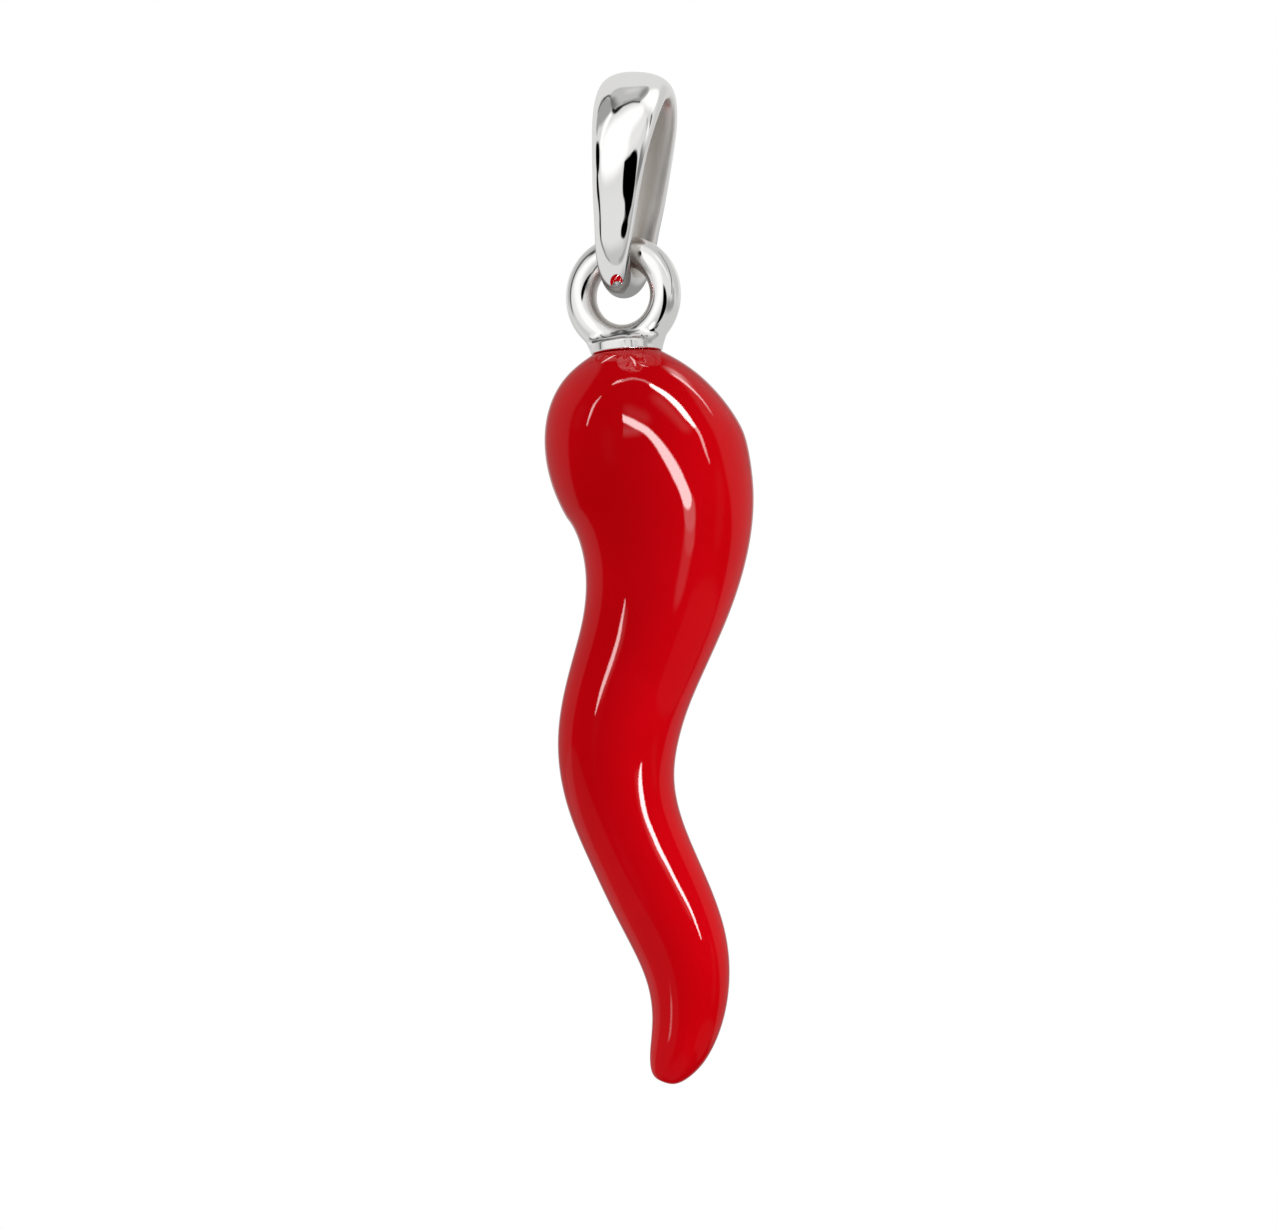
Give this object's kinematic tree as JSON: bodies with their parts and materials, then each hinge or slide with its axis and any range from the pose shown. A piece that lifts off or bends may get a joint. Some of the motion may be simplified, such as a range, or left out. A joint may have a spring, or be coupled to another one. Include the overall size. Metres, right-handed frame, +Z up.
{
  "type": "cornicello horn pendant",
  "caption": "S-curved tapering horn charm on a pegged cap whose ring eyelet swings from a domed teardrop bail made to slide on a fine chain.",
  "frame": {"origin": "where the chain bears, at the inside top of the bail", "axes": "+Z up with the pendant hanging, +X to the right across the S curve and along the chain's run, +Y away from the viewer"},
  "size_m": [0.0073, 0.0068, 0.035],
  "materials": {
    "silver": "mirror-polished silver",
    "red_enamel": "deep glossy red"
  },
  "bodies": {
    "bail": {"bail": "silver"},
    "pendant": {"eyelet_cap": "silver", "horn": "red_enamel"}
  },
  "joints": [
    {"name": "pendant_swing", "type": "hinge", "parent": "bail", "child": "pendant", "pos_m": [-0.00051, 0, -0.00629], "axis": [0, 1, 0], "range_deg": [-120, 140]}
  ]
}
